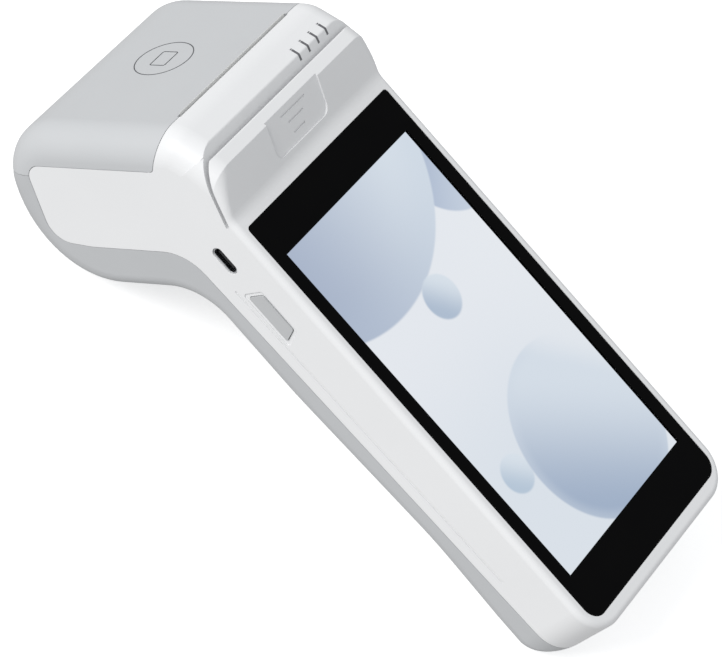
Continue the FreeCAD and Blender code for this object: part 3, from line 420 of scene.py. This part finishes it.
def cover_glass():
    """Black print round a clear, faintly reflecting window."""
    m = new_material("cover_glass_print")
    inside = [
        m.remap(m.math("ABSOLUTE", coordinate),
                span=(half - WINDOW_SOFT, half + WINDOW_SOFT), to=(1.0, 0.0))
        for coordinate, half in zip(m.screen_xy(), (WINDOW_X, WINDOW_Y))
    ]
    smear = m.noise(scale=45.0, detail=3.0, rough=0.6)
    rough = m.remap(smear, span=(0.35, 0.65), to=(0.05, 0.09))
    black = m.principled(m.mix(smear, (0.0024, 0.0024, 0.0026), (0.0034, 0.0034, 0.0036)),
                         rough, specular=0.02)
    clear = m.node("ShaderNodeBsdfTransparent").outputs[0]
    gloss = m.node("ShaderNodeBsdfGlossy", {"Roughness": rough}).outputs[0]
    fresnel = m.node("ShaderNodeFresnel", {"IOR": 1.10}).outputs[0]
    window = m.mix_shader(m.math("MULTIPLY", fresnel, 0.5), clear, gloss)
    return m.finish(m.mix_shader(m.math("MULTIPLY", *inside), black, window))


materials = {slot: moulded(*values) for slot, *values in MOULDINGS}
materials.update({slot: metal(*values) for slot, *values in METALS})
materials.update(
    foot_rubber=foot_rubber(),
    board_green=circuit_board(),
    thermal_paper=thermal_paper(),
    head_ceramic=head_ceramic(),
    cell_wrap=cell_wrap(),
    ferrite=ferrite(),
    cable_film=cable_film(),
    smoked_lens=smoked_lens(),
    display=display(),
    cover_glass=cover_glass(),
)

slot_of = {part["node"]: part["material_slot"] for part in frame["record"]["subparts"]}
for name, piece in frame["nodes"].items():
    piece.data.materials.clear()
    piece.data.materials.append(materials[slot_of[name]])

# ------------------------------------------------------------------ marks on the cover (mm)
SPOT_X, SPOT_ALONG = 1.7, 84.9          # centre of both marks
RING_X, RING_ALONG = 9.4, 8.7           # ring radii
CARD_X, CARD_ALONG = 3.9, 2.6           # half size of the card outline
CARD_CORNER = 0.6
LINE_HALF = 0.16                        # half width of the printed line
MARK_TOP, MARK_BOTTOM = 0.035, -0.05    # heights about the cover face
RING_STEPS = 96
CORNER_STEPS = 8


def mark_ink():
    m = new_material("mark_ink")
    grain = m.noise(scale=3000.0)
    return m.finish(m.principled(m.vary(grain, srgb(74, 76, 80), amount=0.1),
                                 rough=0.4, specular=0.4))


def ring_loop(grow):
    """Ellipse round the origin, grown outwards."""
    angles = [2 * math.pi * i / RING_STEPS for i in range(RING_STEPS)]
    return [((RING_X + grow) * math.cos(a), (RING_ALONG + grow) * math.sin(a))
            for a in angles]


def card_loop(grow):
    """Rounded rectangle round the origin, grown outwards."""
    points = []
    radius = CARD_CORNER + grow
    for side_x, side_along, start in ((1, 1, 0), (-1, 1, 90), (-1, -1, 180), (1, -1, 270)):
        for i in range(CORNER_STEPS + 1):
            angle = math.radians(start + 90.0 * i / CORNER_STEPS)
            points.append((
                side_x * (CARD_X - CARD_CORNER) + radius * math.cos(angle),
                side_along * (CARD_ALONG - CARD_CORNER) + radius * math.sin(angle),
            ))
    return points


def line_mark(name, loop, ink):
    """Closed band between a loop's inner and outer outlines, sunk into the cover."""
    vertices = []
    for inner, outer in zip(loop(-LINE_HALF), loop(LINE_HALF)):
        section = ((inner, MARK_TOP), (outer, MARK_TOP),
                   (outer, MARK_BOTTOM), (inner, MARK_BOTTOM))
        for (x, along), lift in section:
            vertices.append(tuple(cover_point(SPOT_X + x, SPOT_ALONG + along, lift)))
    faces = []
    count = len(vertices) // 4
    for i in range(count):
        here, there = 4 * i, 4 * ((i + 1) % count)
        for k in range(4):
            after = (k + 1) % 4
            faces.append((here + k, here + after, there + after, there + k))
    mesh = bpy.data.meshes.new(name)
    mesh.from_pydata(vertices, [], faces)
    mesh.update()
    mark = bpy.data.objects.new(name, mesh)
    scene.collection.objects.link(mark)
    mesh.materials.append(ink)
    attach(mark, "cover")


ink = mark_ink()
line_mark("contactless_spot_ring", ring_loop, ink)
line_mark("contactless_spot_card", card_loop, ink)


# ------------------------------------------------------------------ studio
def studio_paper():
    """Bright paper to the camera, an even glow to everything else."""
    m = new_material("studio_paper")
    tone = m.mix(m.noise(scale=3.0), (0.89, 0.89, 0.89), (0.91, 0.91, 0.91))
    diffuse = m.node("ShaderNodeBsdfDiffuse", {"Color": tone}).outputs[0]
    lift = m.emission((1.0, 1.0, 1.0), strength=0.50)
    paper = m.node("ShaderNodeAddShader", {0: diffuse, 1: lift}).outputs[0]
    even = m.emission((1.0, 1.0, 1.0), strength=0.58)
    return m.finish(m.camera_switch(others=even, camera=paper))


def studio_world():
    """White behind the object, a dimmer cool fill on it."""
    w = Shader(bpy.data.worlds.new("studio"), output="ShaderNodeOutputWorld")
    fill, backdrop = [
        w.node("ShaderNodeBackground", {"Color": colour, "Strength": strength}).outputs[0]
        for colour, strength in (((0.97, 0.985, 1.0), 0.60), ((1.0, 1.0, 1.0), 1.0))
    ]
    return w.finish(w.camera_switch(others=fill, camera=backdrop))


def key_light():
    """Soft sun from above, on the -X, +Y side."""
    sun = bpy.data.lights.new("soft_key", "SUN")
    sun.energy = 2.05
    sun.angle = 0.55
    sun.color = (1.0, 0.995, 0.985)
    light = bpy.data.objects.new("soft_key", sun)
    scene.collection.objects.link(light)
    beam = Vector((0.63, -0.545, -0.557))
    light.rotation_euler = beam.to_track_quat("-Z", "Y").to_euler()


def photo_camera():
    """Long lens from above on the -X side, placed in the screen frame."""
    lens = bpy.data.cameras.new("photo_camera")
    lens.sensor_fit = "HORIZONTAL"
    lens.sensor_width = 36.0
    lens.lens = 206.1
    lens.clip_start = 0.05
    camera = bpy.data.objects.new("photo_camera", lens)
    scene.collection.objects.link(camera)
    right = model_direction(0.4968, -0.658, 0.5659).normalized()
    back = model_direction(-0.6793, 0.111, 0.7254).normalized()
    up = back.cross(right).normalized()
    right = up.cross(back).normalized()
    pose = Matrix((right, up, back)).transposed().to_4x4()
    pose.translation = model_point(-820.9, 160.0, 842.4)
    camera.matrix_world = pose
    scene.camera = camera


bpy.ops.mesh.primitive_plane_add(size=8.0, location=(0, 0, -0.0003))
floor = bpy.context.object
floor.name = "studio_floor"
floor.data.materials.append(studio_paper())
scene.world = studio_world()
key_light()
photo_camera()

scene.view_settings.view_transform = "Standard"
scene.view_settings.look = "None"
scene.view_settings.exposure = 0.0
scene.view_settings.gamma = 1.0

bpy.context.view_layer.update()
